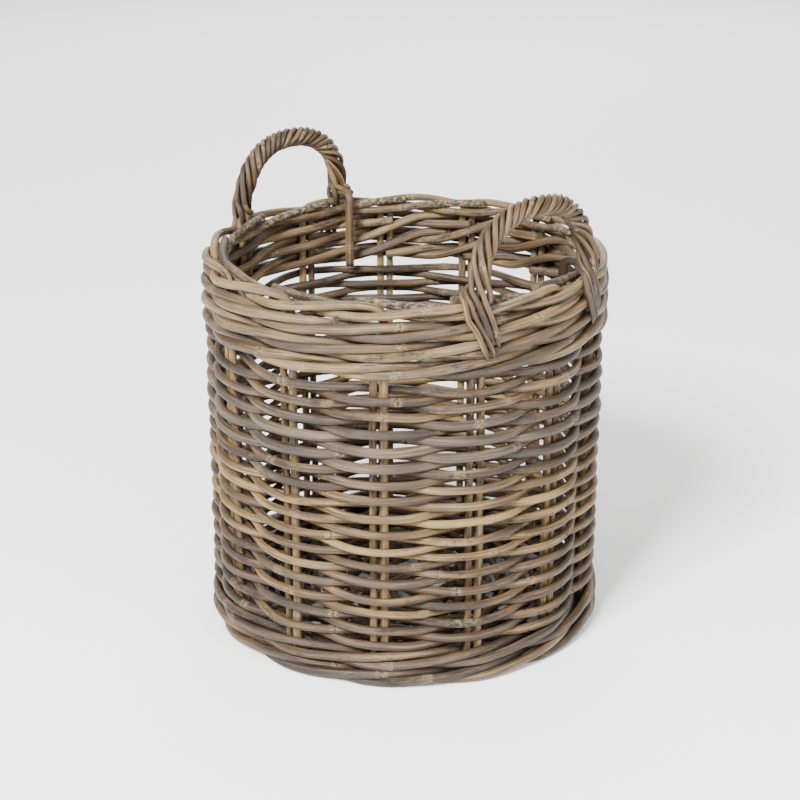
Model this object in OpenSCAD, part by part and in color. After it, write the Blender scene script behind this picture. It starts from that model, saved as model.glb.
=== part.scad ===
// Round fruit basket in woven rattan, with two roped handles.
// Thirteen stakes stand on a woven base. Each stake has a thinner bye-stake
// beside it. The stakes carry a foot wale, plain randing and a rim wale, and
// their tops are turned down to make the border. Lengths are in millimetres
// and angles in degrees. The basket stands on z = 0 with its axis on Z.

/* [Basket] */
// Number of stakes, which is odd so that plain randing alternates
stakes = 13; // [13]
// Radius of the circle that the stakes stand on
stake_circle = 161; // [150:1:180]
// Height of the rim above the floor
rim_height = 332; // [332]

/* [Rods] */
// Diameter of a stake
stake_d = 6.8; // [6:0.1:6.9]
// Diameter of a bye-stake
bye_d = 6.2; // [4.5:0.1:6.6]
// Diameter of the rods that fill the side
weaver_d = 6.8; // [5:0.1:6.9]
// Diameter of the rods in the foot and rim wales
wale_d = 7.2; // [6:0.1:7.3]
// Diameter of the sticks across the base
base_stick_d = 5.5; // [4.5:0.1:5.8]
// Diameter of the rods woven into the base
base_weaver_d = 5; // [4:0.1:5.2]

/* [Handles] */
// Rise of a handle's centre line above the rim
handle_rise = 64; // [50:1:90]
// Half of the distance between the legs of the right handle
right_half_span = 60; // [56:1:64]
// Half of the distance between the legs of the left handle
left_half_span = 55; // [54:1:60]
// Diameter of the bow inside the wrapping
bow_d = 7.4; // [6:0.1:7.4]
// Diameter of one strand of the wrapping
strand_d = 3.5; // [3:0.1:3.5]

/* [Hidden] */
gap = 360 / stakes;
first_stake_angle = 90;
half_pair = 4.4;

// Waves of the rods, in and out from the stake circle
weaver_swing = 7;
wale_swing = 7.7;
border_swing = 7.6;

// Heights, from the floor up
wale_step = 15.6;
wale_half_step = wale_step / 4;
foot_wale_z = wale_half_step + wale_d / 2 * cos(30);
foot_rounds = 2;
base_z = foot_wale_z + wale_step / 2;
border_z = rim_height - stake_d / 2 - 4.5;
rim_rounds = 3;
rim_wale_z = border_z - 4.5 - stake_d / 2 - wale_d / 2 - 0.3
    - (rim_rounds - 1) * wale_step - wale_half_step;
randing_z = foot_wale_z + (foot_rounds - 1) * wale_step + wale_half_step
    + (wale_d + weaver_d) / 2 + 0.4;
randing_top_z = rim_wale_z - wale_half_step - (wale_d + weaver_d) / 2 - 0.4;

// Side weavers: each passes 28 gaps and ends behind a stake
side_weavers = 15;
weaver_gaps = 28;
weaver_end_gap = 0.02;
randing_pitch = (randing_top_z - randing_z) * stakes / (side_weavers * weaver_gaps);

// Base: six whole sticks and one half stick make one end for each stake
stick_reach = 148;
slath_half = 30;
stick_lane = 9;
layer_lift = 3.2;
base_swing = 6.1;
base_weave_start = 44;
base_weave_step = 7.6;
base_rounds = 13;
base_weavers = 2;
tail_start = 100;

// Handles: one leg of each stands on a bye-stake, in the rim wale. The other
// is halfway between two stakes, just inside the rim.
leg_foot_z = rim_wale_z - 6;
inner_leg_circle = stake_circle - wale_swing - (wale_d + bow_d) / 2 - 0.6;
right_legs = [2.5, 4];
left_legs = [9, 10.5];
handle_lean = 0.2;
handle_out = 8;
arch_power = 2 / 2.4;
arch_steps = 18;

// Wrapping: six strands around the bow. Their ends fan out over the rim, slant
// to one side and close in: two pairs reach low and the middle pair ends high.
strands = 6;
strand_angle = 360 / strands;
wrap_radius = 6.4;
wrap_steps = 28;
wrap_angle = 19 * strand_angle;
wrap_margin = 9;
tail_radius = stake_circle + wale_swing + (wale_d + strand_d) / 2 + 0.9;
tail_spread = 4.6;
tail_slant = 7;
tail_short = 0.62;
tip_shift = [9, 13.6, 3.4, 8, 18.6, 23.2];
tip_drop = [56, 53, 21, 20, 43, 40];
shoulder_shift = [-10.8, -6.6, -2.3, 2.3, 6.6, 10.8];
shoulder_out = [2.8, 5, 6.9, 6.9, 5, 2.8];

stake_names = [for (i = [0:stakes - 1]) str("stake_", i + 1)];
bye_names = [for (i = [0:stakes - 1]) str("bye_stake_", i + 1)];
weaver_names = [for (i = [0:side_weavers - 1]) str("side_weaver_", i + 1)];
foot_names = [for (i = [0:2]) str("foot_wale_", i + 1)];
rim_names = [for (i = [0:2]) str("rim_wale_", i + 1)];
base_names = [for (i = [0:base_weavers - 1]) str("base_weaver_", i + 1)];

// Colours
straw = [0.72, 0.63, 0.48];
taupe = [0.55, 0.49, 0.42];
grey_cane = [0.60, 0.57, 0.53];
umber = [0.47, 0.38, 0.31];

// ---- geometry helpers ----

function unit(v) = v / norm(v);
function mix(a, b, t) = a + (b - a) * t;
function out_from_axis(p) = unit([p[0], p[1], 0]);
function heading(path, i) = unit(path[min(i + 1, len(path) - 1)] - path[max(i - 1, 0)]);

// A point at gap count j, shifted along the wall by the length along. The
// count goes clockwise, seen from above, as the basket is woven.
function wall(j, r, z, along = 0) =
    let (a = first_stake_angle - gap * j - along / stake_circle * 180 / PI)
    [r * cos(a), r * sin(a), z];

// One ring of a swept rod: the corners of a regular polygon across its path
function rod_ring(p, forward, face, d, sides, turn) =
    let (side = unit(cross(forward, face)), up = cross(side, forward))
    [for (k = [0:sides - 1])
        let (t = turn + k * 360 / sides)
        p + d / 2 * (up * cos(t) + side * sin(t))];

// The way that each section looks when it is carried along without twisting
function carried(path, face, i = 0) =
    i == len(path) ? [] :
    let (h = heading(path, i), f = unit(face - h * (face * h)))
    concat([f], carried(path, f, i + 1));

// A rod along a path. The list faces_to holds, for each point, the way that
// the section's first corner looks.
module rod(path, faces_to, d, sides = 6, turn = 0) {
    last = len(path) - 1;
    rings = [for (i = [0:last])
        rod_ring(path[i], heading(path, i), faces_to[i], d, sides, turn)];
    start_cap = [[for (k = [0:sides - 1]) k]];
    end_cap = [[for (k = [sides - 1:-1:0]) last * sides + k]];
    walls = [for (i = [0:last - 1]) for (k = [0:sides - 1])
        let (n = (k + 1) % sides)
        [i * sides + k, (i + 1) * sides + k, (i + 1) * sides + n, i * sides + n]];
    polyhedron(points = [for (r = rings) each r],
        faces = concat(start_cap, walls, end_cap), convexity = 8);
}

module wall_rod(path, d, turn = 0) {
    rod(path, [for (p = path) out_from_axis(p)], d, turn = turn);
}

module floor_rod(path, d, turn = 0) {
    rod(path, [for (p = path) [0, 0, 1]], d, turn = turn);
}

// ---- side ----

// Plain randing: behind the even stakes and in front of the odd ones
function randing_point(j, swing) =
    wall(j, stake_circle + swing, randing_z + randing_pitch * j / stakes);
function randing_at(j) =
    j % 2 == 0 ? [randing_point(j, -weaver_swing)]
    : [randing_point(j - 0.13, weaver_swing), randing_point(j + 0.13, weaver_swing)];

module side_weaver(m) {
    first = m * weaver_gaps;
    path = concat(
        [randing_point(first + weaver_end_gap, -weaver_swing)],
        [for (j = [first + 1:first + weaver_gaps - 1]) each randing_at(j)],
        [randing_point(first + weaver_gaps - weaver_end_gap, -weaver_swing)]);
    color(m % 2 == 0 ? straw : grey_cane) wall_rod(path, weaver_d, turn = 30);
}

// Three-rod wale: in front of two stakes and behind the third. Each round is
// level and steps up by one round between the last stake and the first.
function wale_level(j) =
    let (turns = floor(j / stakes), part = j - turns * stakes)
    wale_step * (turns + max(0, part - (stakes - 1)));
function wale_point(z, j, swing, lift) =
    wall(j, stake_circle + swing * wale_swing, z + wale_level(j) + lift * wale_half_step);
function wale_at(z, j, phase) =
    phase == 0 ? [wale_point(z, j, -1, 0), wale_point(z, j + 0.5, 0, 1)]
    : phase == 1 ? [wale_point(z, j, 1, 1), wale_point(z, j + 0.5, 1, 0)]
    : [wale_point(z, j - 0.15, 1, -1), wale_point(z, j + 0.15, 1, -1),
       wale_point(z, j + 0.5, 0, -1)];

module wale_rod(index, z, rounds) {
    start = [0, 2, 1][index];
    finish = start + floor((rounds * stakes - 1 - start) / 3) * 3;
    path = concat(
        [for (j = [start:finish - 1]) each wale_at(z, j, (j - start) % 3)],
        [wale_point(z, finish, -1, 0)]);
    wall_rod(path, wale_d);
}

module foot_wale(index) {
    color(taupe) wale_rod(index, foot_wale_z, foot_rounds);
}

module rim_wale(index) {
    color(umber) wale_rod(index, rim_wale_z, rim_rounds);
}

// A stake: its tail lies in the base and it stands in the wall. Its top is
// turned down in front of the next stake and behind the one after, and its end
// comes up inside the rim.
module stake(j) {
    along = -half_pair;
    tail_along = -6.6;
    inside = stake_circle - border_swing;
    outside = stake_circle + border_swing;
    path = [
        wall(j, tail_start, base_z, tail_along * stake_circle / tail_start),
        wall(j, stake_circle - 17, base_z, tail_along * 1.1),
        wall(j, stake_circle - 8, base_z, along * 1.2),
        wall(j, stake_circle - 2.5, base_z + 2.5, along),
        wall(j, stake_circle, base_z + 8, along),
        wall(j, stake_circle, border_z - 9, along),
        wall(j, stake_circle + 0.5, border_z, along),
        wall(j, stake_circle + 7.2, border_z + 4, 1),
        wall(j, outside, border_z + 4.5, 9),
        wall(j + 0.5, outside, border_z + 1),
        wall(j + 0.9, outside, border_z - 4.5),
        wall(j + 1.1, outside, border_z - 4.5),
        wall(j + 1.5, stake_circle, border_z - 4.5),
        wall(j + 1.88, inside, border_z - 4.5),
        wall(j + 2.12, inside, border_z - 4),
        wall(j + 2.5, inside + 1, border_z + 1.8),
        wall(j + 2.83, stake_circle - 2.5, border_z + 4.2)];
    sideways = wall(j - stakes / 4, 1, 0);
    color(taupe) rod(path, carried(path, sideways), stake_d);
}

// A bye-stake ends low where a handle's leg stands on it
function carries_leg(j) = j == right_legs[1] || j == left_legs[0];
module bye_stake(j) {
    bottom_z = 5;
    top_z = carries_leg(j) ? leg_foot_z - 1 : border_z - 10;
    color(straw) translate(wall(j, stake_circle, bottom_z, half_pair))
        cylinder(h = top_z - bottom_z, d = bye_d, $fn = 24);
}

// ---- base ----

// A whole stick: straight in its lane across the middle, and fanned out to
// its stakes. The lane's two ends are from_xy and to_xy.
module base_stick(from_j, from_xy, to_xy, to_j, lift) {
    flare = slath_half + 12;
    floor_rod([
        wall(from_j, stick_reach, base_z),
        wall(from_j, flare, base_z),
        [from_xy[0], from_xy[1], base_z + lift],
        [to_xy[0], to_xy[1], base_z + lift],
        wall(to_j, flare, base_z),
        wall(to_j, stick_reach, base_z)], base_stick_d);
}

module base_sticks_across() {
    color(umber) for (i = [-1:1])
        base_stick(10 + i, [-slath_half, i * stick_lane], [slath_half, i * stick_lane],
            3 - i, -layer_lift);
}

module base_sticks_along() {
    color(taupe) for (i = [-1:1])
        base_stick(7 - i, [i * stick_lane, -slath_half], [i * stick_lane, slath_half],
            (stakes + i) % stakes, layer_lift);
}

module base_half_stick() {
    color(grey_cane) floor_rod([
        wall(5, stick_reach, base_z),
        wall(5, slath_half + 12, base_z),
        [2 * stick_lane, -slath_half, base_z + layer_lift],
        [2 * stick_lane, slath_half / 2, base_z + layer_lift]], base_stick_d);
}

// Base weave: over one stick and under the next. Further out each stick has a
// stake's tail beside it, and the weaver crosses both.
function base_radius(j) = base_weave_start + base_weave_step * j / stakes;
function base_cross(j, along) =
    let (r = base_radius(j))
    wall(j, r, base_z + (j % 2 == 0 ? base_swing : -base_swing), along * stake_circle / r);
function base_at(j) =
    base_radius(j) < tail_start - 8 ? [base_cross(j, 0)]
    : [base_cross(j, -9), base_cross(j, 3)];

module base_weaver(index) {
    share = base_rounds * stakes / base_weavers;
    first = ceil(index * share);
    last = ceil((index + 1) * share) - 1;
    color(straw) floor_rod([for (j = [first:last]) each base_at(j)], base_weaver_d, turn = 30);
}

// ---- handles ----

// Centre line of a handle; t runs from 0 at one leg to 180 at the other
function arch(t, side_angle, half_span) =
    let (
        c = cos(t),
        u = half_span * sign(c) * pow(abs(c), arch_power),
        rise = handle_rise * pow(abs(sin(t)), arch_power),
        r = stake_circle + handle_out - handle_lean * rise)
    beside(side_angle, u, r, rim_height + rise);

// A point u to the side of a handle's middle and r from the basket's axis
function beside(side_angle, u, r, z) =
    let (d = sqrt(r * r - u * u))
    [d * cos(side_angle) - u * sin(side_angle), d * sin(side_angle) + u * cos(side_angle), z];

// A leg, from its foot up to the arch. A whole number j is at a stake.
function on_stake(j) = j == floor(j);
function leg(j) =
    on_stake(j) ? [
        wall(j, stake_circle, leg_foot_z, half_pair),
        wall(j, stake_circle, rim_height - 2, half_pair),
        wall(j, stake_circle + 1, rim_height + 4, half_pair)]
    : [
        wall(j, inner_leg_circle, leg_foot_z),
        wall(j, inner_leg_circle, rim_height - 6),
        wall(j, inner_leg_circle + 2, rim_height + 5.5)];

module handle_bow(side_angle, half_span, legs) {
    turns = concat([3], [for (i = [1:arch_steps - 1]) i * 180 / arch_steps], [177]);
    path = concat(
        leg(legs[0]),
        [for (t = turns) arch(t, side_angle, half_span)],
        [for (i = [2:-1:0]) leg(legs[1])[i]]);
    color(umber) wall_rod(path, bow_d);
}

// A strand winds slowly up the legs and fast over the top
function wrap_share(t) = t / 180 - 0.09 * sin(2 * t);
function wrap_point(k, s, side_angle, half_span) =
    let (
        t = 90 + (90 - wrap_margin) * (0.64 * s + 0.36 * s * s * s),
        w = wrap_share(wrap_margin),
        share = (wrap_share(t) - w) / (1 - 2 * w),
        c = arch(t, side_angle, half_span),
        h = unit(arch(t + 1, side_angle, half_span) - arch(t - 1, side_angle, half_span)),
        o = out_from_axis(c),
        n = unit(o - h * (o * h)),
        b = cross(h, n),
        psi = strand_angle * (k + 0.5) - 180 - wrap_angle * share)
    c + wrap_radius * (n * cos(psi) + b * sin(psi));

// The end of a strand, from its tip outside the rim wale up to the leg. The
// ends at the first leg of a handle, where way is 1, are tucked in sooner.
function strand_tail(place, way, side_angle, half_span) =
    let (
        u = way * half_span,
        reach = way < 0 ? 1 : tail_short,
        start = (place - (strands - 1) / 2) * tail_spread,
        middle = start + tail_slant,
        tip = way < 0 ? tip_shift[place] : mix(middle, tip_shift[place], 0.8),
        fan = 46 * place - 115)
    concat(
        [beside(side_angle, u + tip, tail_radius, rim_height - tip_drop[place] * reach)],
        tip_drop[place] < 30 ? []
            : [beside(side_angle, u + middle, tail_radius, rim_height - 24 * reach)],
        [beside(side_angle, u + start, tail_radius, rim_height - 3),
         beside(side_angle, u + shoulder_shift[place],
            stake_circle + handle_out + shoulder_out[place], rim_height + 3),
         beside(side_angle, u + 7.6 * sin(fan),
            stake_circle + handle_out - 0.6 + 7.6 * cos(fan), rim_height + 8.5)]);

module handle_wrap(side_angle, half_span) {
    color(straw) for (k = [0:strands - 1]) {
        far = strand_tail((strands - k) % strands, -1, side_angle, half_span);
        path = concat(
            strand_tail(k, 1, side_angle, half_span),
            [for (i = [0:wrap_steps])
                wrap_point(k, 2 * i / wrap_steps - 1, side_angle, half_span)],
            [for (i = [len(far) - 1:-1:0]) far[i]]);
        rod(path, carried(path, out_from_axis(path[0])), strand_d, sides = 5);
    }
}

// ---- nodes ----

for (j = [0:stakes - 1]) {
    stake(j);
    bye_stake(j);
}
for (m = [0:side_weavers - 1])
    side_weaver(m);
for (i = [0:2]) {
    foot_wale(i);
    rim_wale(i);
}
for (i = [0:base_weavers - 1])
    base_weaver(i);
base_sticks_across();
base_sticks_along();
base_half_stick();
handle_bow(0, right_half_span, right_legs);  // handle_bow_right
handle_bow(180, left_half_span, left_legs);  // handle_bow_left
handle_wrap(0, right_half_span);  // handle_wrap_right
handle_wrap(180, left_half_span);  // handle_wrap_left
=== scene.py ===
"""A round fruit basket woven in weathered rattan, with two roped handles.

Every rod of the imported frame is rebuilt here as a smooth, uneven length of
rattan, on the same route or close to it. Rods and the camera are laid out in
millimetres, and the lights and the floor in metres.
"""
import math
from dataclasses import dataclass

import bpy
import numpy as np
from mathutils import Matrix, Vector


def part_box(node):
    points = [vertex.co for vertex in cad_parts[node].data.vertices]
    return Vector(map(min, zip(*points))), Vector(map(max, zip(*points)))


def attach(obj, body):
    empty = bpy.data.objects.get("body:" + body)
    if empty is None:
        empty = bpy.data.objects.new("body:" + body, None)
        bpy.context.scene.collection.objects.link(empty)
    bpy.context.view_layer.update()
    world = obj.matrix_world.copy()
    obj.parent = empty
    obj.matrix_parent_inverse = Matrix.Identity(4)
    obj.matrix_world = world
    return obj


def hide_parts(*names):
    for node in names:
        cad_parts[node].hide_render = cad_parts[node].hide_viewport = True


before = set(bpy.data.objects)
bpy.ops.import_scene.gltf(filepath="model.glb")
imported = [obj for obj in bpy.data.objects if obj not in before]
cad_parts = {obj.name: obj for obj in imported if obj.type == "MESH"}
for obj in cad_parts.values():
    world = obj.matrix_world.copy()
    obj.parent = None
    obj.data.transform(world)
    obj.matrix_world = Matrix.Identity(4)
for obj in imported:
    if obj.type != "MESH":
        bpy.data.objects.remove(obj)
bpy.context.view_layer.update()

MM = 0.001
BODY = "root"
TAU = 2 * math.pi


# ---- sizes, read from the frame ----

def node_box(node):
    low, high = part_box(node)
    return np.array(low) / MM, np.array(high) / MM


# Places round the wall are counted in gaps, so a whole number is at a stake.
# The first stake, at 0, stands on +Y
STAKES = 13
GAP = TAU / STAKES
FIRST_ANGLE = math.pi / 2
# Each handle's right-hand leg, seen from outside, and then its left-hand leg
RIGHT_LEGS = (2.5, 4)
LEFT_LEGS = (9, 10.5)
# Half the distance between a stake and its bye-stake
HALF_PAIR = 4.4

bye_low, bye_high = node_box("bye_stake_1")
bye_mid = (bye_low + bye_high) / 2
CIRCLE = float(math.hypot(bye_mid[0], bye_mid[1]))
BYE_D = float(bye_high[0] - bye_low[0])
BYE_FOOT_Z = float(bye_low[2])
RIM_Z = float(node_box("stake_1")[1][2])

# Diameters of the rods
STAKE_D = 6.8
WALE_D = 7.2
FOOT_WALE_ROD_D = WALE_D + 0.2
RIM_WALE_ROD_D = WALE_D + 0.6
WEAVER_D = 6.8
BASE_STICK_D = 5.5
BASE_WEAVER_D = 5.4
BOW_D = 7.4
STRAND_D = 4.6

# How far a rod goes in and out of the circle that the stakes stand on
WEAVER_SWING = 7.0
WALE_SWING = 7.7
BORDER_SWING = 7.6
# How much a wale rises in one round, and its rods' rise and fall within it
WALE_STEP = 15.6
WALE_LIFT = WALE_STEP / 4
# How much higher the wales are than the frame's
WALE_RAISE = 0.5
FOOT_ROUNDS = 2
RIM_ROUNDS = 3
BASE_DROP = 0.5
# How far a stake's bend rises over the middle of the border
BORDER_HUMP = 4.2
WEAVERS = 15
WEAVER_GAPS = 28
WEAVER_END_GAP = 0.03

# Spacing of the points along a rod and along a handle's strand
ROD_STEP = 3.2
STRAND_STEP = 2.0
# About the distance between two stakes, which gives the random waves their scale
GAP_LENGTH = 78

FOOT_Z = float(node_box("foot_wale_1")[0][2]) + WALE_D / 2 + WALE_LIFT
RIM_WALE_Z = float(node_box("rim_wale_1")[0][2]) + WALE_D / 2 * math.cos(math.radians(30)) + WALE_LIFT
BASE_Z = FOOT_Z + WALE_STEP / 2 - BASE_DROP
BORDER_Z = RIM_Z - STAKE_D / 2 - BORDER_HUMP
RANDING_Z = float(node_box("side_weaver_1")[0][2]) + WEAVER_D / 2
RANDING_TOP_Z = float(node_box(f"side_weaver_{WEAVERS}")[1][2]) - WEAVER_D / 2
RANDING_PITCH = (RANDING_TOP_Z - RANDING_Z) * STAKES / (WEAVERS * WEAVER_GAPS)


# ---- the camera and the stage ----

VIEW_AZIMUTH = math.radians(49)
CAMERA_DISTANCE = 1500
CAMERA_HEIGHT = 769.7
LOOK_AT_Z = 189.7
SIDE_STEP = -3.9
LENS = 82.67


def make_camera():
    back = Vector((math.sin(VIEW_AZIMUTH), -math.cos(VIEW_AZIMUTH), 0))
    right = Vector((math.cos(VIEW_AZIMUTH), math.sin(VIEW_AZIMUTH), 0))
    step = right * SIDE_STEP
    place = (back * CAMERA_DISTANCE + step + Vector((0, 0, CAMERA_HEIGHT))) * MM
    target = (step + Vector((0, 0, LOOK_AT_Z))) * MM
    data = bpy.data.cameras.new("camera")
    data.lens = LENS
    data.sensor_width = 36
    data.clip_start = 0.01
    camera = bpy.data.objects.new("camera", data)
    bpy.context.scene.collection.objects.link(camera)
    camera.location = place
    camera.rotation_euler = (target - place).to_track_quat("-Z", "Y").to_euler()
    bpy.context.scene.camera = camera


def area_light(name, place, target, size, watts):
    data = bpy.data.lights.new(name, "AREA")
    data.size = size
    data.energy = watts
    lamp = bpy.data.objects.new(name, data)
    bpy.context.scene.collection.objects.link(lamp)
    lamp.location = place
    lamp.rotation_euler = (Vector(target) - Vector(place)).to_track_quat("-Z", "Y").to_euler()


def around_view(degrees, distance, height):
    """A place seen from the basket at an angle to the right of the camera."""
    a = VIEW_AZIMUTH + math.radians(degrees)
    return (distance * math.sin(a), -distance * math.cos(a), height)


def make_lights():
    area_light("key_light", around_view(-30, 3.0, 2.8), (0, 0, 0.2), 1.2, 595)
    area_light("fill_light", around_view(45, 2.0, 0.9), (0, 0, 0.12), 1.4, 42)
    area_light("back_light", around_view(175, 3.2, 2.0), (0, 0, 0.2), 2.0, 95)
    world = bpy.data.worlds.new("studio")
    world.use_nodes = True
    background = world.node_tree.nodes["Background"]
    background.inputs["Color"].default_value = (1.0, 0.998, 0.99, 1)
    background.inputs["Strength"].default_value = 0.82
    bpy.context.scene.world = world


def make_floor():
    mesh = bpy.data.meshes.new("floor")
    half = 6.0
    mesh.from_pydata([(-half, -half, 0), (half, -half, 0), (half, half, 0), (-half, half, 0)],
                     [], [(0, 1, 2, 3)])
    floor = bpy.data.objects.new("floor", mesh)
    bpy.context.scene.collection.objects.link(floor)
    material = bpy.data.materials.new("floor_paper")
    material.use_nodes = True
    shader = material.node_tree.nodes["Principled BSDF"]
    shader.inputs["Base Color"].default_value = (0.95, 0.95, 0.945, 1)
    shader.inputs["Roughness"].default_value = 0.9
    mesh.materials.append(material)


# ---- rattan material ----

def linear(red, green, blue):
    """A display colour, 0 to 255, as the linear colour that shaders take."""
    return tuple(((c / 255 + 0.055) / 1.055) ** 2.4 if c > 10 else c / 3294.6
                 for c in (red, green, blue)) + (1,)


UMBER = linear(34, 23, 14)
BROWN = linear(56, 40, 24)
TAN = linear(81, 60, 36)
STRAW = linear(108, 84, 50)
PALE_STRAW = linear(138, 114, 73)
DARK_GREY = linear(41, 33, 27)
GREY = linear(72, 60, 49)
PALE_GREY = linear(105, 91, 74)
BARK = linear(17, 11, 7)
CHALK = linear(150, 132, 99)
CUT_PITH = linear(130, 104, 67)
FIBRE_SHADE = (0.42, 0.38, 0.34, 1)
WHITE = (1.0, 1.0, 1.0, 1)


class Nodes:
    """Short calls for building a node tree."""

    def __init__(self, material):
        material.use_nodes = True
        self.tree = material.node_tree
        self.shader = self.tree.nodes["Principled BSDF"]

    def new(self, kind, **settings):
        node = self.tree.nodes.new(kind)
        for key, value in settings.items():
            setattr(node, key, value)
        return node

    def link(self, a, b):
        self.tree.links.new(a, b)

    def put(self, socket, value):
        if isinstance(value, bpy.types.NodeSocket):
            self.link(value, socket)
        else:
            socket.default_value = value

    def attribute(self, name, output="Fac"):
        return self.new("ShaderNodeAttribute", attribute_name=name).outputs[output]

    def maths(self, operation, a, b=0.0, clamp=False):
        node = self.new("ShaderNodeMath", operation=operation, use_clamp=clamp)
        self.put(node.inputs[0], a)
        self.put(node.inputs[1], b)
        return node.outputs[0]

    def noise(self, coordinate, scale, detail=2.0, roughness=0.5):
        """Noise on rod coordinates stretched by the vector scale."""
        stretch = self.new("ShaderNodeVectorMath", operation="MULTIPLY")
        self.link(coordinate, stretch.inputs[0])
        stretch.inputs[1].default_value = scale
        node = self.new("ShaderNodeTexNoise")
        self.link(stretch.outputs[0], node.inputs["Vector"])
        node.inputs["Scale"].default_value = 1.0
        node.inputs["Detail"].default_value = detail
        node.inputs["Roughness"].default_value = roughness
        return node.outputs["Fac"]

    def ramp(self, value, stops):
        node = self.new("ShaderNodeValToRGB")
        elements = node.color_ramp.elements
        while len(elements) < len(stops):
            elements.new(0.5)
        for element, (position, colour) in zip(elements, stops):
            element.position = position
            element.color = colour
        self.put(node.inputs["Fac"], value)
        return node.outputs["Color"]

    def mix(self, factor, a, b, blend="MIX"):
        node = self.new("ShaderNodeMix", data_type="RGBA", blend_type=blend)
        self.put(node.inputs["Factor"], factor)
        self.put(node.inputs["A"], a)
        self.put(node.inputs["B"], b)
        return node.outputs["Result"]

    def step(self, value, low, high):
        """From 0 at low to 1 at high, smoothly."""
        node = self.new("ShaderNodeMapRange", interpolation_type="SMOOTHSTEP")
        self.put(node.inputs["Value"], value)
        self.put(node.inputs["From Min"], low)
        self.put(node.inputs["From Max"], high)
        return node.outputs["Result"]


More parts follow.
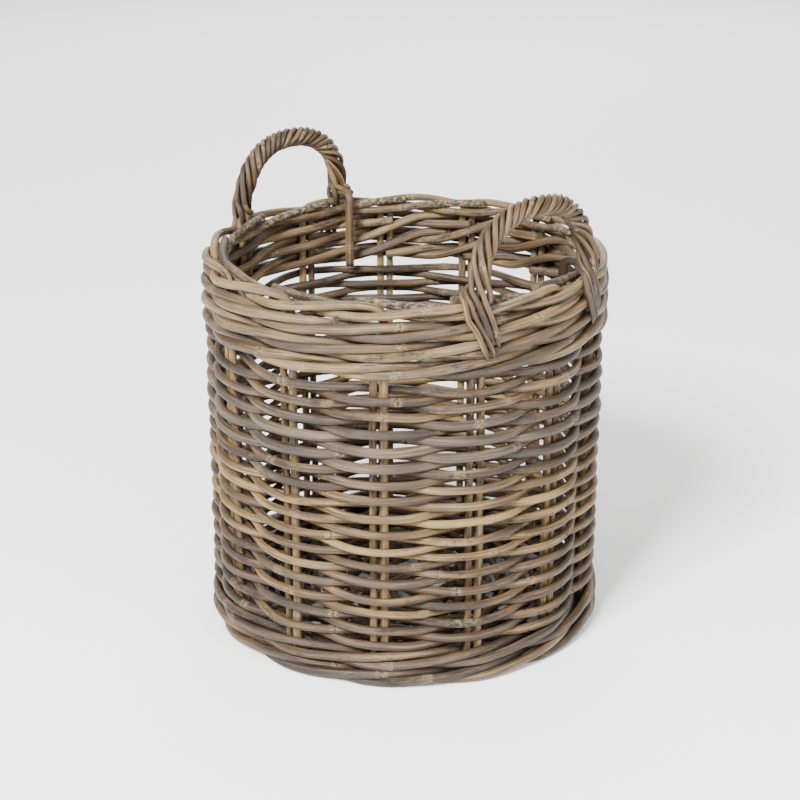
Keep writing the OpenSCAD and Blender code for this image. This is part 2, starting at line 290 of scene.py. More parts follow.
def cane_material(name, roughness, bark_depth):
    """Weathered rattan. Its rods carry their own coordinates and looks."""
    material = bpy.data.materials.new(name)
    n = Nodes(material)
    place = n.attribute("rod_place", "Vector")
    tone = n.attribute("rod_tone")
    grey = n.attribute("rod_grey")
    marks = n.attribute("rod_marks")
    joint = n.attribute("rod_joint")
    cut = n.attribute("rod_cut")

    # Noises, nearly all stretched along the rod
    fibres = n.noise(place, (1.7, 1.7, 0.035), detail=3.0, roughness=0.65)
    streaks = n.noise(place, (0.62, 0.62, 0.014), detail=3.0, roughness=0.6)
    clouds = n.noise(place, (0.10, 0.10, 0.020), detail=3.0)
    specks = n.noise(place, (1.2, 1.2, 0.42), detail=3.0, roughness=0.7)
    patches = n.noise(place, (0.20, 0.20, 0.050), detail=3.0, roughness=0.65)
    cracks = n.noise(place, (0.30, 0.30, 1.25), detail=2.0)

    # The rod's own colour, warm or weathered to grey
    shifted = n.maths("ADD", tone, n.maths("MULTIPLY", n.maths("SUBTRACT", clouds, 0.5), 1.5))
    shifted = n.maths("ADD", shifted, n.maths("MULTIPLY", n.maths("SUBTRACT", streaks, 0.5), 1.9))
    warm = n.ramp(shifted, [(0.0, UMBER), (0.3, BROWN), (0.55, TAN), (0.8, STRAW), (1.0, PALE_STRAW)])
    cool = n.ramp(shifted, [(0.0, DARK_GREY), (0.5, GREY), (1.0, PALE_GREY)])
    greyness = n.maths("ADD", grey, n.maths("MULTIPLY", n.maths("SUBTRACT", patches, 0.5), 1.8),
                       clamp=True)
    colour = n.mix(greyness, warm, cool)

    fibre_shade = n.ramp(n.step(fibres, 0.28, 0.72), [(0.0, FIBRE_SHADE), (1.0, WHITE)])
    colour = n.mix(0.62, colour, fibre_shade, blend="MULTIPLY")

    # Bark left on the rod: specks, patches and cracks across it, and where
    # there is much of it, a grey and chalky mottle
    speck_limit = n.maths("SUBTRACT", 0.68, n.maths("MULTIPLY", marks, 0.18))
    speck_mask = n.step(specks, speck_limit, n.maths("ADD", speck_limit, 0.07))
    patch_limit = n.maths("SUBTRACT", 0.74, n.maths("MULTIPLY", marks, 0.30))
    patch_mask = n.step(patches, patch_limit, n.maths("ADD", patch_limit, 0.10))
    crack_mask = n.maths("MULTIPLY", n.step(cracks, 0.56, 0.64), patch_mask)
    ragged = n.maths("MULTIPLY", patch_mask, n.step(specks, 0.40, 0.56))
    bark_mask = n.maths("MAXIMUM", n.maths("MAXIMUM", ragged, crack_mask),
                        n.maths("MULTIPLY", speck_mask, 0.75))
    colour = n.mix(n.maths("MULTIPLY", bark_mask, 0.72), colour, BARK)
    mottle = n.ramp(n.noise(place, (0.34, 0.34, 0.24), detail=3.0, roughness=0.7),
                    [(0.40, DARK_GREY), (0.47, GREY), (0.53, PALE_GREY), (0.62, CHALK)])
    colour = n.mix(n.maths("MULTIPLY", n.step(marks, 0.85, 1.35), 0.85), colour, mottle)
    chalk = n.maths("MULTIPLY", n.step(specks, 0.60, 0.70), n.step(marks, 0.1, 0.7))
    chalk = n.maths("MULTIPLY", chalk, n.maths("SUBTRACT", 1.0, n.step(patches, 0.45, 0.55)))
    colour = n.mix(n.maths("MULTIPLY", chalk, 0.45), colour, CHALK)

    # Leaf joints, with a scar round them and a dark line
    joint_line = n.step(joint, 0.90, 0.98)
    scar = n.step(joint, 0.08, 0.6)
    pale_scar = n.maths("MULTIPLY", scar, n.step(specks, 0.48, 0.60))
    dark_scar = n.maths("MULTIPLY", scar, n.maths("SUBTRACT", 1.0, n.step(specks, 0.34, 0.48)))
    colour = n.mix(n.maths("MULTIPLY", pale_scar, 0.6), colour, CHALK)
    colour = n.mix(n.maths("MULTIPLY", dark_scar, 0.6), colour, BARK)
    joint_dark = n.maths("MULTIPLY", joint_line, n.step(patches, 0.40, 0.56))
    colour = n.mix(n.maths("MULTIPLY", joint_dark, 0.7), colour, BARK)
    colour = n.mix(n.maths("MULTIPLY", cut, 0.7), colour, CUT_PITH)
    n.link(colour, n.shader.inputs["Base Color"])

    rough = n.maths("ADD", roughness, n.maths("MULTIPLY", bark_mask, 0.28))
    rough = n.maths("ADD", rough, n.maths("MULTIPLY", n.maths("SUBTRACT", fibres, 0.5), 0.22))
    n.link(rough, n.shader.inputs["Roughness"])
    n.shader.inputs["Specular IOR Level"].default_value = 0.38

    height = n.maths("ADD", n.maths("MULTIPLY", fibres, 0.6), n.maths("MULTIPLY", streaks, 0.9))
    height = n.maths("ADD", height, n.maths("MULTIPLY", specks, 0.5))
    height = n.maths("SUBTRACT", height, n.maths("MULTIPLY", bark_mask, bark_depth))
    height = n.maths("SUBTRACT", height, n.maths("MULTIPLY", joint_line, 0.8))
    bump = n.new("ShaderNodeBump")
    bump.inputs["Strength"].default_value = 0.85
    bump.inputs["Distance"].default_value = 0.0009
    n.link(height, bump.inputs["Height"])
    n.link(bump.outputs["Normal"], n.shader.inputs["Normal"])
    return material


# ---- rods ----

@dataclass
class Look:
    """How one rod looks: tone 0 is dark and 1 pale, grey 0 is warm and 1
    cool, and marks says how much bark is left on it. A barky end keeps more
    of its bark over about that many millimetres."""

    tone: float
    grey: float = 0.3
    marks: float = 0.3
    joint_every: float = 210.0
    barky_end: float = 0.0


def unit(v):
    return v / np.linalg.norm(v, axis=-1, keepdims=True)


def through(points, step=3.0):
    """A smooth curve through points, as points an even step apart."""
    p = np.asarray(points, float)
    p = np.vstack([2 * p[0] - p[1], p, 2 * p[-1] - p[-2]])
    pieces = []
    for i in range(1, len(p) - 2):
        knots = np.cumsum([0] + [np.linalg.norm(p[i + k] - p[i + k - 1]) ** 0.5 + 1e-6
                                 for k in range(3)])
        count = max(4, int(np.linalg.norm(p[i + 1] - p[i]) / 1.5))
        t = np.linspace(knots[1], knots[2], count, endpoint=False)[:, None]

        def blend(a, b, ta, tb):
            return a + (b - a) * (t - ta) / (tb - ta)
        a1 = blend(p[i - 1], p[i], knots[0], knots[1])
        a2 = blend(p[i], p[i + 1], knots[1], knots[2])
        a3 = blend(p[i + 1], p[i + 2], knots[2], knots[3])
        b1 = blend(a1, a2, knots[0], knots[2])
        b2 = blend(a2, a3, knots[1], knots[3])
        pieces.append(blend(b1, b2, knots[1], knots[2]))
    pieces.append(p[-2][None])
    return even(np.vstack(pieces), step)


def even(points, step):
    """The same curve with points an even step apart."""
    lengths = np.r_[0, np.cumsum(np.linalg.norm(np.diff(points, axis=0), axis=1))]
    count = max(3, int(round(lengths[-1] / step)) + 1)
    wanted = np.linspace(0, lengths[-1], count)
    return np.column_stack([np.interp(wanted, lengths, points[:, k]) for k in range(3)])


def soft_noise(rng, s, wavelength, size):
    """A smooth random wave along s."""
    total = np.zeros_like(s)
    for factor in (1.0, 1.9, 3.7):
        total += np.sin(TAU * s * factor / wavelength + rng.uniform(0, TAU)) * size / factor
    return total


class RodMesh:
    """Collects rods into one mesh, with random numbers of its own."""

    ATTRIBUTES = ("rod_tone", "rod_grey", "rod_marks", "rod_joint", "rod_cut")
    WANDER = 0.2
    THICKNESS_CHANGE = 0.025
    JOINT_SWELL = 0.07
    JOINT_LENGTH = 3.2
    SCAR_LENGTH = 4.0
    TIP_SHARE = 0.42
    PITH_SHARE = 0.82

    def __init__(self, name, seed):
        self.name = name
        self.rng = np.random.default_rng(seed)
        self.verts, self.faces = [], []
        self.place = []
        self.values = {key: [] for key in self.ATTRIBUTES}
        self.count = 0

    def add(self, points, diameter, look, sides=12, taper=0.0, flatness=0.03):
        """One rod along points. A taper thins that many millimetres at each end."""
        rng = self.rng
        p = np.asarray(points, float)
        s = np.r_[0, np.cumsum(np.linalg.norm(np.diff(p, axis=0), axis=1))]
        ends = np.clip(np.minimum(s, s[-1] - s) / 20, 0, 1)
        bend = np.stack([soft_noise(rng, s, 95.0, self.WANDER) for _ in range(3)], axis=1)
        p = p + bend * ends[:, None]
        tangent = unit(np.gradient(p, axis=0))
        normal = self.carried(p, tangent)
        side = np.cross(tangent, normal)

        radius = diameter / 2 * (1 + soft_noise(rng, s, 130.0, self.THICKNESS_CHANGE))
        joints = self.joint_places(rng, s[-1], look.joint_every)
        nearness = np.zeros_like(s)
        for place in joints:
            nearness = np.maximum(nearness, np.exp(-((s - place) / self.SCAR_LENGTH) ** 2))
            radius = radius * (1 + self.JOINT_SWELL * np.exp(-((s - place) / self.JOINT_LENGTH) ** 2))
        if taper:
            for from_end in (s, s[-1] - s):
                radius = radius * np.interp(from_end, [0, taper], [self.TIP_SHARE, 1.0])

        angles = np.arange(sides) * TAU / sides
        wobble = 1 + flatness * np.cos(2 * angles + rng.uniform(0, TAU))
        cos, sin = np.cos(angles) * wobble, np.sin(angles) * wobble
        rings = (p[:, None] + radius[:, None, None]
                 * (normal[:, None] * cos[None, :, None] + side[:, None] * sin[None, :, None]))
        offset = rng.uniform(-4000, 4000, 3)
        coordinate = np.stack([radius[:, None] * np.cos(angles)[None],
                               radius[:, None] * np.sin(angles)[None],
                               np.repeat(s[:, None], sides, axis=1)], axis=2) + offset

        tone = look.tone + soft_noise(rng, s, 420.0, 0.11)
        grey = look.grey + soft_noise(rng, s, 300.0, 0.12)
        marks = look.marks + soft_noise(rng, s, 260.0, 0.30)
        if look.barky_end:
            near_end = np.clip((s - s[-1]) / look.barky_end + 1.3, 0, 1)
            marks = marks + 0.9 * near_end
            tone = tone - 0.15 * near_end
        self.tube(rings, coordinate, sides, tone, grey, marks, nearness)

    def tube(self, rings, coordinate, sides, tone, grey, marks, nearness):
        """Faces between the rings of points, and a cut end at each end."""
        n = len(rings)
        start = self.count
        self.verts.append(rings.reshape(-1, 3))
        self.place.append(coordinate.reshape(-1, 3))
        rows = {"rod_tone": tone, "rod_grey": grey, "rod_marks": marks, "rod_joint": nearness,
                "rod_cut": np.zeros(n)}
        for key, row in rows.items():
            self.values[key].append(np.repeat(row, sides))
        i = np.arange(n - 1)[:, None] * sides + start
        k = np.arange(sides)[None]
        nxt = (k + 1) % sides
        quads = np.stack([i + k, i + nxt, i + sides + nxt, i + sides + k], axis=2)
        self.faces.extend(quads.reshape(-1, 4).tolist())
        self.count += n * sides
        self.cap(rings[0], coordinate[0], start, sides, 0, rows, True)
        self.cap(rings[-1], coordinate[-1], start + (n - 1) * sides, sides, -1, rows, False)

    def cap(self, ring, coordinate, first, sides, row, rows, backwards):
        """A flat cut end, whose inner ring and centre show the pith."""
        centre = ring.mean(axis=0)
        inner = centre + (ring - centre) * self.PITH_SHARE
        start = self.count
        self.verts.append(np.vstack([inner, centre]))
        self.place.append(np.vstack([coordinate, coordinate.mean(axis=0)]))
        for key in self.ATTRIBUTES:
            value = 1.0 if key == "rod_cut" else rows[key][row]
            self.values[key].append(np.full(sides + 1, value))
        self.count += sides + 1
        for k in range(sides):
            m = (k + 1) % sides
            rim = [first + k, first + m, start + m, start + k]
            tip = [start + k, start + m, start + sides]
            if not backwards:
                self.faces.append(rim)
                self.faces.append(tip)
            else:
                self.faces.append(rim[::-1])
                self.faces.append(tip[::-1])

    @staticmethod
    def carried(p, tangent):
        """Normals carried along the rod without twisting."""
        start = np.array([p[0][0], p[0][1], 0.0])
        if np.linalg.norm(np.cross(unit(start), tangent[0])) < 0.2:
            start = np.array([0.0, 0.0, 1.0])
        normal = np.zeros_like(p)
        current = start
        for i, t in enumerate(tangent):
            current = current - t * np.dot(current, t)
            current = current / np.linalg.norm(current)
            normal[i] = current
        return normal

    @staticmethod
    def joint_places(rng, length, every):
        places = []
        place = rng.uniform(0.1, 0.9) * every
        while place < length:
            places.append(place)
            place += every * rng.uniform(0.6, 1.4)
        return places

    def build(self, material, slot, *nodes):
        mesh = bpy.data.meshes.new(self.name)
        verts = np.vstack(self.verts) * MM
        mesh.from_pydata(verts.tolist(), [], self.faces)
        for key in self.ATTRIBUTES:
            layer = mesh.attributes.new(key, "FLOAT", "POINT")
            layer.data.foreach_set("value", np.concatenate(self.values[key]).astype(np.float32))
        layer = mesh.attributes.new("rod_place", "FLOAT_VECTOR", "POINT")
        layer.data.foreach_set("vector", np.vstack(self.place).astype(np.float32).ravel())
        mesh.shade_smooth()
        mesh.materials.append(material)
        piece = bpy.data.objects.new(self.name, mesh)
        bpy.context.scene.collection.objects.link(piece)
        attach(piece, BODY)
        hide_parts(*nodes)
        return piece


# ---- places on the wall ----

def wall(j, r, z, along=0.0):
    """A point at gap count j, clockwise seen from above, and along mm past it,
    r from the axis."""
    angle = FIRST_ANGLE - GAP * np.asarray(j, float) - np.asarray(along, float) / CIRCLE
    r, z = np.broadcast_arrays(r, z)
    return np.stack([r * np.cos(angle), r * np.sin(angle), np.broadcast_to(z, angle.shape)], axis=-1)


def unevenness(j, z):
    """How far the whole weave wanders up or down at a place on the wall."""
    angle = GAP * j
    return 0.9 * np.sin(2 * angle + z / 47) + 0.6 * np.sin(3 * angle - z / 31 + 1.3)


# ---- side ----

# Each side rod's tone, grey, marks and diameter, from the foot up
WEAVER_LOOKS = [
    (0.46, 0.25, 0.5, 7.1), (0.34, 0.35, 0.6, 7.0), (0.60, 0.20, 0.4, 6.8), (0.46, 0.45, 0.5, 7.3),
    (0.64, 0.20, 0.6, 6.5), (0.82, 0.10, 0.4, 6.4), (0.66, 0.20, 0.5, 6.7), (0.88, 0.05, 0.3, 6.7),
    (0.66, 0.20, 0.3, 6.9), (0.50, 0.40, 0.5, 6.9), (0.46, 0.85, 0.2, 8.2), (0.58, 0.95, 0.2, 8.2),
    (0.38, 0.70, 0.3, 7.4), (0.54, 0.35, 0.4, 6.9), (0.40, 0.35, 0.5, 7.0)]


def weaver_path(rng, first, last):
    """Plain randing: behind the even stakes and in front of the odd ones, by
    gap count. Where a rod is in front, it is a little uneven up and out."""
    j = np.arange(first, last, 0.042)
    beat = np.cos(math.pi * (j - 1))
    flattened = np.sign(beat) * np.abs(beat) ** 0.86
    peak = np.clip(flattened, 0, 1) ** 2
    stake = np.round(j).astype(int)
    lifts = dict((k, rng.normal(0, 0.75)) for k in np.unique(stake))
    pushes = dict((k, rng.uniform(-0.3, 0.7)) for k in np.unique(stake))
    lift = np.array([lifts[k] for k in stake]) * peak
    push = np.array([pushes[k] for k in stake]) * peak
    z = RANDING_Z + RANDING_PITCH * j / STAKES
    r = CIRCLE + WEAVER_SWING * flattened + push
    return even(wall(j, r, z + lift + unevenness(j, z)), ROD_STEP)


def make_side_weavers(material, grey_material):
    for m, (tone, grey, marks, diameter) in enumerate(WEAVER_LOOKS):
        rods = RodMesh(f"weaver_{m + 1}", 100 + m)
        first = m * WEAVER_GAPS + WEAVER_END_GAP
        path = weaver_path(rods.rng, first, first + WEAVER_GAPS - 2 * WEAVER_END_GAP)
        rods.add(path, diameter, Look(tone, grey, marks))
        straw = m % 2 == 0
        rods.build(material if straw else grey_material,
                   "weaver_straw" if straw else "weaver_grey", f"side_weaver_{m + 1}")


# ---- wales ----

# Three-rod wale, at each half gap: how far out, and how far up, a rod is
WALE_OUT = np.array([-1.0, 0.05, 1.0, 1.08, 1.0, 0.05])
WALE_UP = np.array([0.0, 0.92, 1.0, 0.0, -1.0, -0.92])


def repeating(values, phase):
    """A smooth wave through values, which repeat over a phase of 3."""
    n = len(values)
    x = np.mod(phase, 3) * n / 3
    i = np.floor(x).astype(int)
    t = x - i
    before, a, b, after = (values[(i + k) % n] for k in (-1, 0, 1, 2))
    return 0.5 * (2 * a + (b - before) * t + (2 * before - 5 * a + 4 * b - after) * t ** 2
                  + (3 * a - before - 3 * b + after) * t ** 3)


def step_up(start, turn):
    """Where a wale's rod steps up at the end of a turn, behind a stake."""
    return next(j for j in range(turn * STAKES - 2, turn * STAKES + 1) if (j - start) % 3 == 0)


def wale_level(j, start, rounds):
    """How far a rod has stepped up by j, over the rounds before its last."""
    level = np.zeros_like(j)
    for turn in range(1, rounds):
        part = np.clip(j - step_up(start, turn) + 0.5, 0, 1)
        level += WALE_STEP * part * part * (3 - 2 * part)
    return level


def wale_path(rng, index, z, rounds):
    """In front of two stakes and behind one. The three rods start one stake
    apart, and each ends where it would step up again."""
    start = -index
    j = np.arange(start, step_up(start, rounds) + 0.1, 0.04)
    phase = j - start
    lift = soft_noise(rng, j * GAP_LENGTH, 260, 0.35)
    push = soft_noise(rng, j * GAP_LENGTH, 330, 0.25)
    r = CIRCLE + WALE_SWING * repeating(WALE_OUT, phase) + push
    height = z + wale_level(j, start, rounds) + WALE_LIFT * repeating(WALE_UP, phase) + lift
    return even(wall(j, r, height), ROD_STEP)


def make_wales(material):
    foot_looks = [Look(0.38, 0.55, 0.5), Look(0.52, 0.30, 0.4), Look(0.34, 0.45, 0.6)]
    rim_looks = [Look(0.72, 0.50, 0.35), Look(0.46, 0.35, 0.30), Look(0.86, 0.45, 0.45)]
    for i in range(3):
        rods = RodMesh(f"foot_wale_rod_{i + 1}", 200 + i)
        rods.add(wale_path(rods.rng, i, FOOT_Z + WALE_RAISE, FOOT_ROUNDS), FOOT_WALE_ROD_D, foot_looks[i])
        rods.build(material, "wale_cane", f"foot_wale_{i + 1}")
        rods = RodMesh(f"rim_wale_rod_{i + 1}", 220 + i)
        rods.add(wale_path(rods.rng, i, RIM_WALE_Z + WALE_RAISE, RIM_ROUNDS), RIM_WALE_ROD_D, rim_looks[i])
        rods.build(material, "wale_cane", f"rim_wale_{i + 1}")


# ---- stakes and border ----

TAIL_START = 100
BARKY_END = 110.0


def stake_path(j):
    """From its tail in the base, up the wall, and round into the border: in
    front of the next stake, behind the one after, and up inside the rim."""
    along = -HALF_PAIR
    inside = CIRCLE - BORDER_SWING
    outside = CIRCLE + BORDER_SWING
    if j in (RIGHT_LEGS[1], LEFT_LEGS[0]):
        # Round the outside of the handle's leg that stands beside this stake
        bend = [wall(j, CIRCLE + 1.2, BORDER_Z - 1.2, along),
                wall(j, CIRCLE + 5.4, BORDER_Z + 3.2, -1.0),
                wall(j, outside, BORDER_Z + 4.4, 8),
                wall(j + 0.34, outside + 0.3, BORDER_Z + 3.0)]
    else:
        bend = [wall(j, CIRCLE + 0.3, BORDER_Z - 2.4, -3.4),
                wall(j, CIRCLE + 0.6, BORDER_Z + 1.8, 1.0),
                wall(j, CIRCLE + 1.4, BORDER_Z + 3.8, 9),
                wall(j + 0.36, CIRCLE + 4.2, BORDER_Z + 4.2)]
    foot = [wall(j, TAIL_START, BASE_Z, 1.5 * along * CIRCLE / TAIL_START),
            wall(j, CIRCLE - 17, BASE_Z, 1.65 * along),
            wall(j, CIRCLE - 8, BASE_Z + 0.4, along * 1.2),
            wall(j, CIRCLE - 2.5, BASE_Z + 3.0, along),
            wall(j, CIRCLE, BASE_Z + 9, along),
            wall(j, CIRCLE, BASE_Z + 60, along),
            wall(j, CIRCLE, BORDER_Z - 60, along),
            wall(j, CIRCLE, BORDER_Z - 9, along)]
    return through(foot + bend + [
        wall(j + 0.62, outside - 0.8, BORDER_Z + 2.2),
        wall(j + 0.88, outside, BORDER_Z - 0.8),
        wall(j + 1.12, outside, BORDER_Z - 2.6),
        wall(j + 1.5, CIRCLE + 0.4, BORDER_Z - 4.6),
        wall(j + 1.88, inside, BORDER_Z - 4.5),
        wall(j + 2.12, inside, BORDER_Z - 4),
        wall(j + 2.5, inside, BORDER_Z + 0.8),
        wall(j + 2.82, inside + 0.2, BORDER_Z + 3.0),
        wall(j + 3.08, inside + 0.9, BORDER_Z + 4.8),
        wall(j + 3.25, inside + 1.8, BORDER_Z + 5.4)])


def make_stakes(material):
    rng = np.random.default_rng(7)
    for j in range(STAKES):
        rods = RodMesh(f"stake_rod_{j + 1}", 300 + j)
        # Stakes are paler than most weavers: partly their own light colour, and partly painted light that
        # makes up for the shade they stand in between the weavers
        look = Look(rng.uniform(0.74, 1.05), rng.uniform(0.1, 0.6), rng.uniform(0.2, 0.6),
                    barky_end=BARKY_END)
        rods.add(stake_path(j), STAKE_D + rng.uniform(-0.2, 0.5), look)
        rods.build(material, "stake_cane", f"stake_{j + 1}")
        node = f"bye_stake_{j + 1}"
        top = node_box(node)[1][2]
        rods = RodMesh(f"bye_rod_{j + 1}", 330 + j)
        # The bye-stake's paler tone is likewise partly painted light against the shade between the weavers
        look = Look(rng.uniform(0.74, 1.05), rng.uniform(0.1, 0.5), rng.uniform(0.2, 0.7))
        heights = np.arange(BYE_FOOT_Z, top, 3.0)
        sway = soft_noise(rods.rng, heights, 200, 0.25)
        rods.add(wall(j + 0 * heights, CIRCLE, heights, HALF_PAIR + sway), BYE_D + 0.2, look)
        rods.build(material, "stake_cane", node)


# ---- base ----

# The weave starts at one radius and moves out by a step in each round
BASE_SWING = 6.1
BASE_START = 44.0
BASE_STEP = 7.95
BASE_ROUNDS = 13
# Beyond this radius it goes round the stakes' tails too, beside the sticks
PAIRED_FROM = 92
PAIR_SHIFT = -3.0
# The sticks cross in a square in the middle, in two layers, and fan out from it
STICK_REACH = 148
STICK_FLARE = 42
STICK_MIDWAY = (STICK_REACH + STICK_FLARE) / 2
SLATH_HALF = 30
STICK_LANE = 9
LAYER_LIFT = 3.2


def lane_point(x, y, lift):
    """A point where the sticks cross, lift above the base's middle height."""
    return np.array([x, y, BASE_Z + lift])


def stick_path(from_j, from_xy, to_xy, to_j, lift):
    """A stick from one gap count on the edge, across the middle, to another."""
    return through([
        wall(from_j, STICK_REACH, BASE_Z), wall(from_j, STICK_MIDWAY, BASE_Z),
        wall(from_j, STICK_FLARE, BASE_Z), lane_point(*from_xy, lift),
        lane_point(*to_xy, lift), wall(to_j, STICK_FLARE, BASE_Z),
        wall(to_j, STICK_MIDWAY, BASE_Z), wall(to_j, STICK_REACH, BASE_Z)])


def make_base(material):
    """Three whole sticks each way and a half stick, whose 13 ends fan out to
    the stakes, and the two rods woven round them."""
    rng = np.random.default_rng(11)

    def stick_look():
        return Look(rng.uniform(0.3, 0.6), rng.uniform(0.2, 0.5), 0.5)

    rods = RodMesh("base_sticks_one_way", 400)
    for i in (-1, 0, 1):
        lane = i * STICK_LANE
        rods.add(stick_path(10 + i, (-SLATH_HALF, lane), (SLATH_HALF, lane), 3 - i, -LAYER_LIFT),
                 BASE_STICK_D, stick_look())
    rods.build(material, "base_cane", "base_sticks_across")

    rods = RodMesh("base_sticks_other_way", 401)
    for i in (-1, 0, 1):
        lane = i * STICK_LANE
        rods.add(stick_path(7 - i, (lane, -SLATH_HALF), (lane, SLATH_HALF),
                            (STAKES + i) % STAKES, LAYER_LIFT),
                 BASE_STICK_D, stick_look())
    rods.build(material, "base_cane", "base_sticks_along")

    odd_j = 5
    rods = RodMesh("base_odd_stick", 402)
    rods.add(through([
        wall(odd_j, STICK_REACH, BASE_Z), wall(odd_j, STICK_MIDWAY, BASE_Z),
        wall(odd_j, STICK_FLARE, BASE_Z),
        lane_point(2 * STICK_LANE, -SLATH_HALF, LAYER_LIFT),
        lane_point(2 * STICK_LANE, SLATH_HALF / 2, LAYER_LIFT)]), BASE_STICK_D, stick_look())
    rods.build(material, "base_cane", "base_half_stick")

    crossings = BASE_ROUNDS * STAKES
    middle = math.ceil(crossings / 2)
    for index, (first, last) in enumerate([(0, middle - 1), (middle, crossings - 1)]):
        rods = RodMesh(f"base_weave_{index + 1}", 410 + index)
        # The outer rod's gaps are longer, so it takes more points for each
        j = np.arange(first, last, 0.03 if index else 0.05)
        r = BASE_START + BASE_STEP * j / STAKES
        centre = np.where(r > PAIRED_FROM, PAIR_SHIFT, 0.0)
        beat = np.cos(math.pi * j)
        swing = np.sign(beat) * np.abs(beat) ** 0.8 * BASE_SWING
        path = wall(j, r, BASE_Z + swing, centre * CIRCLE / r)
        rods.add(even(path, ROD_STEP), BASE_WEAVER_D, Look(0.45, 0.3, 0.4), sides=10)
        rods.build(material, "base_cane", f"base_weaver_{index + 1}")


# ---- handles ----

# Half of the distance between a handle's legs
RIGHT_HALF_SPAN = 60.0
LEFT_HALF_SPAN = 55.0
HANDLE_RISE = 64.0
HANDLE_LEAN = 0.2
HANDLE_OUT = 8.0
ARCH_POWER = 2 / 2.4
STRANDS = 6
# Degrees round the bow from one strand to the next, and how many steps of that
# size each strand makes on its way along the bow
STRAND_TURN = 360 / STRANDS
WRAP_STEPS = 19
WRAP_RADIUS = 6.5
WRAP_MARGIN = 9
STRAND_TAPER = 9
# How far the strand ends at a handle's right-hand leg reach down, as a share of
# TAILS, which the left-hand leg follows in full
RIGHT_TAIL_REACH = 0.92

# Where each strand goes below the wrapping, by rank, as mm to the leg's right seen
# from outside, mm outwards from the stakes and mm above the rim. Ranks 0 and 5 end
# between the border rods, and the others lie over the rim and end outside it.
TAILS = (
    ((3.9, 11.8, 7.0), (4.8, 10.8, 1.5), (4.6, 7.8, -4), (4.4, 5.5, -7)),
    ((-2.4, 12.6, 7.0), (-0.8, 13.8, -0.5), (4.0, 14.0, -12.5), (8.4, 13.8, -25), (12.6, 11.5, -38)),
    ((-7.8, 8.6, 9.0), (-7.0, 12.6, 2.5), (-4.8, 13.8, -4.5), (-0.6, 13.9, -15.5), (3.4, 13.8, -26),
     (7.2, 11.8, -34)),
    ((-6.6, 0.8, 9.4), (-10.6, 7.4, 5.0), (-10.9, 12.2, 0.5), (-9.6, 13.9, -7), (-5.4, 14.0, -17),
     (0.2, 13.9, -28), (5.4, 13.6, -39), (8.8, 11.6, -46)),
    ((0.4, -2.6, 9.0), (-5.8, -2.0, 5.2), (-11.2, 3.6, 3.0), (-13.8, 9.5, 2.2), (-15.0, 13.2, -3.4),
     (-13.6, 14.0, -12), (-8.6, 14.1, -20.5), (-5.0, 13.9, -28), (-0.8, 13.8, -38), (3.8, 11.6, -47)),
    ((5.8, 2.0, 9.0), (5.4, 0.8, 4.0), (5.0, 0.4, -3), (4.6, 0.4, -8)))
LEG_FOOT_Z = RIM_WALE_Z - 6
INNER_LEG_CIRCLE = CIRCLE - WALE_SWING - (WALE_D + BOW_D) / 2 - 0.3


def beside(side_angle, u, r, z):
    """A point u to the right of a handle's middle and r from the axis."""
    d = np.sqrt(r * r - u * u)
    return np.stack([d * np.cos(side_angle) - u * np.sin(side_angle),
                     d * np.sin(side_angle) + u * np.cos(side_angle),
                     z + 0 * d], axis=-1)


def arch(t, side_angle, half_span):
    """The centre line of a handle. From its right-hand leg to its left-hand
    leg, seen from outside, t runs from 0 to 180."""
    c, s = np.cos(np.radians(t)), np.sin(np.radians(t))
    u = half_span * np.sign(c) * np.abs(c) ** ARCH_POWER
    rise = HANDLE_RISE * np.abs(s) ** ARCH_POWER
    return beside(side_angle, u, CIRCLE + HANDLE_OUT - HANDLE_LEAN * rise, RIM_Z + rise)


def leg(j):
    """From a leg's foot up to the arch. A whole number j is at a stake."""
    if j == int(j):
        return [wall(j, CIRCLE, LEG_FOOT_Z, HALF_PAIR), wall(j, CIRCLE, RIM_Z - 2, HALF_PAIR),
                wall(j, CIRCLE + 1.5, RIM_Z + 4, HALF_PAIR)]
    return [wall(j, INNER_LEG_CIRCLE, LEG_FOOT_Z), wall(j, INNER_LEG_CIRCLE, RIM_Z - 6),
            wall(j, INNER_LEG_CIRCLE + 2, RIM_Z + 5.5)]


def wrap_share(t):
    """How much of its winding a strand has made at t on the arch."""
    return t / 180 - 0.09 * np.sin(np.radians(2 * t))


def wrap_points(k, side_angle, half_span):
    """The part of a strand that winds round the bow."""
    s = np.linspace(-1, 1, 100)
    t = 90 + (90 - WRAP_MARGIN) * (0.64 * s + 0.36 * s ** 3)
    first_share = wrap_share(WRAP_MARGIN)
    share = (wrap_share(t) - first_share) / (1 - 2 * first_share)
    centre = arch(t, side_angle, half_span)
    along = unit(arch(t + 1, side_angle, half_span) - arch(t - 1, side_angle, half_span))
    outward = unit(centre * np.array([1, 1, 0]))
    front = unit(outward - along * np.sum(outward * along, axis=1, keepdims=True))
    side = np.cross(along, front)
    turn = np.radians(STRAND_TURN * (k + 0.5 - WRAP_STEPS * share) - 180)[:, None]
    return centre + WRAP_RADIUS * (front * np.cos(turn) + side * np.sin(turn))


def tail_rank(k, way):
    """The order in which strand k comes round to the front of a leg: way is 1
    at a handle's right-hand leg and -1 at its left-hand one."""
    front_angle = way * (STRAND_TURN * (k + 0.5) - 180)
    if way < 0:
        front_angle += STRAND_TURN * WRAP_STEPS
    return int(round((STRAND_TURN / 2 - front_angle) % 360 / STRAND_TURN)) % STRANDS


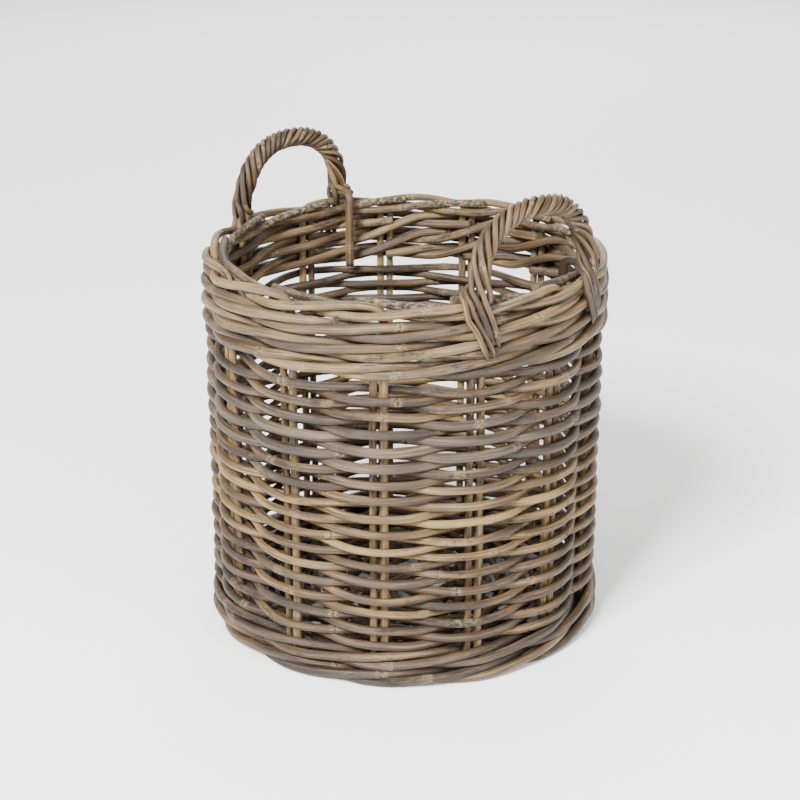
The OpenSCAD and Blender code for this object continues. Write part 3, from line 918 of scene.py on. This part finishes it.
def strand_tail(rng, rank, way, side_angle, half_span):
    """From a strand's tip up to where its winding starts."""
    reach = (1 if way < 0 else RIGHT_TAIL_REACH) * rng.uniform(0.96, 1.04)
    return [beside(side_angle, way * half_span + right, CIRCLE + out,
                   RIM_Z + (up * reach if up < 0 else up))
            for right, out, up in TAILS[rank][::-1]]


def make_handle(side, side_angle, half_span, legs, seed, material):
    rods = RodMesh(f"{side}_handle_bow", seed)
    arch_line = arch(np.array([3.0, *np.arange(8, 173, 4.0), 177.0]), side_angle, half_span)
    path = through(leg(legs[0]) + list(arch_line) + leg(legs[1])[::-1])
    rods.add(path, BOW_D, Look(0.5, 0.2, 0.3))
    rods.build(material, "handle_cane", f"handle_bow_{side}")

    rods = RodMesh(f"{side}_handle_wrapping", seed + 10)
    rng = rods.rng
    for k in range(STRANDS):
        right = strand_tail(rng, tail_rank(k, 1), 1, side_angle, half_span)
        left = strand_tail(rng, tail_rank(k, -1), -1, side_angle, half_span)
        middle = wrap_points(k, side_angle, half_span)
        path = through(right + list(middle) + left[::-1], step=STRAND_STEP)
        look = Look(rng.uniform(0.34, 0.62), rng.uniform(0.05, 0.4), 0.2, joint_every=160.0)
        rods.add(path, STRAND_D * rng.uniform(0.94, 1.04), look, sides=10,
                 taper=STRAND_TAPER, flatness=0.06)
    rods.build(material, "handle_cane", f"handle_wrap_{side}")


# ---- the whole basket ----

make_camera()
make_lights()
make_floor()

side_cane = cane_material("side_cane", 0.46, 0.5)
grey_cane = cane_material("side_cane_weathered", 0.50, 0.5)
stake_cane = cane_material("stake_cane", 0.50, 0.7)
wale_cane = cane_material("wale_cane", 0.44, 0.6)
base_cane = cane_material("base_cane", 0.58, 0.5)
handle_cane = cane_material("handle_cane", 0.52, 0.3)

make_side_weavers(side_cane, grey_cane)
make_wales(wale_cane)
make_stakes(stake_cane)
make_base(base_cane)
make_handle("right", 0.0, RIGHT_HALF_SPAN, RIGHT_LEGS, 500, handle_cane)
make_handle("left", math.pi, LEFT_HALF_SPAN, LEFT_LEGS, 503, handle_cane)
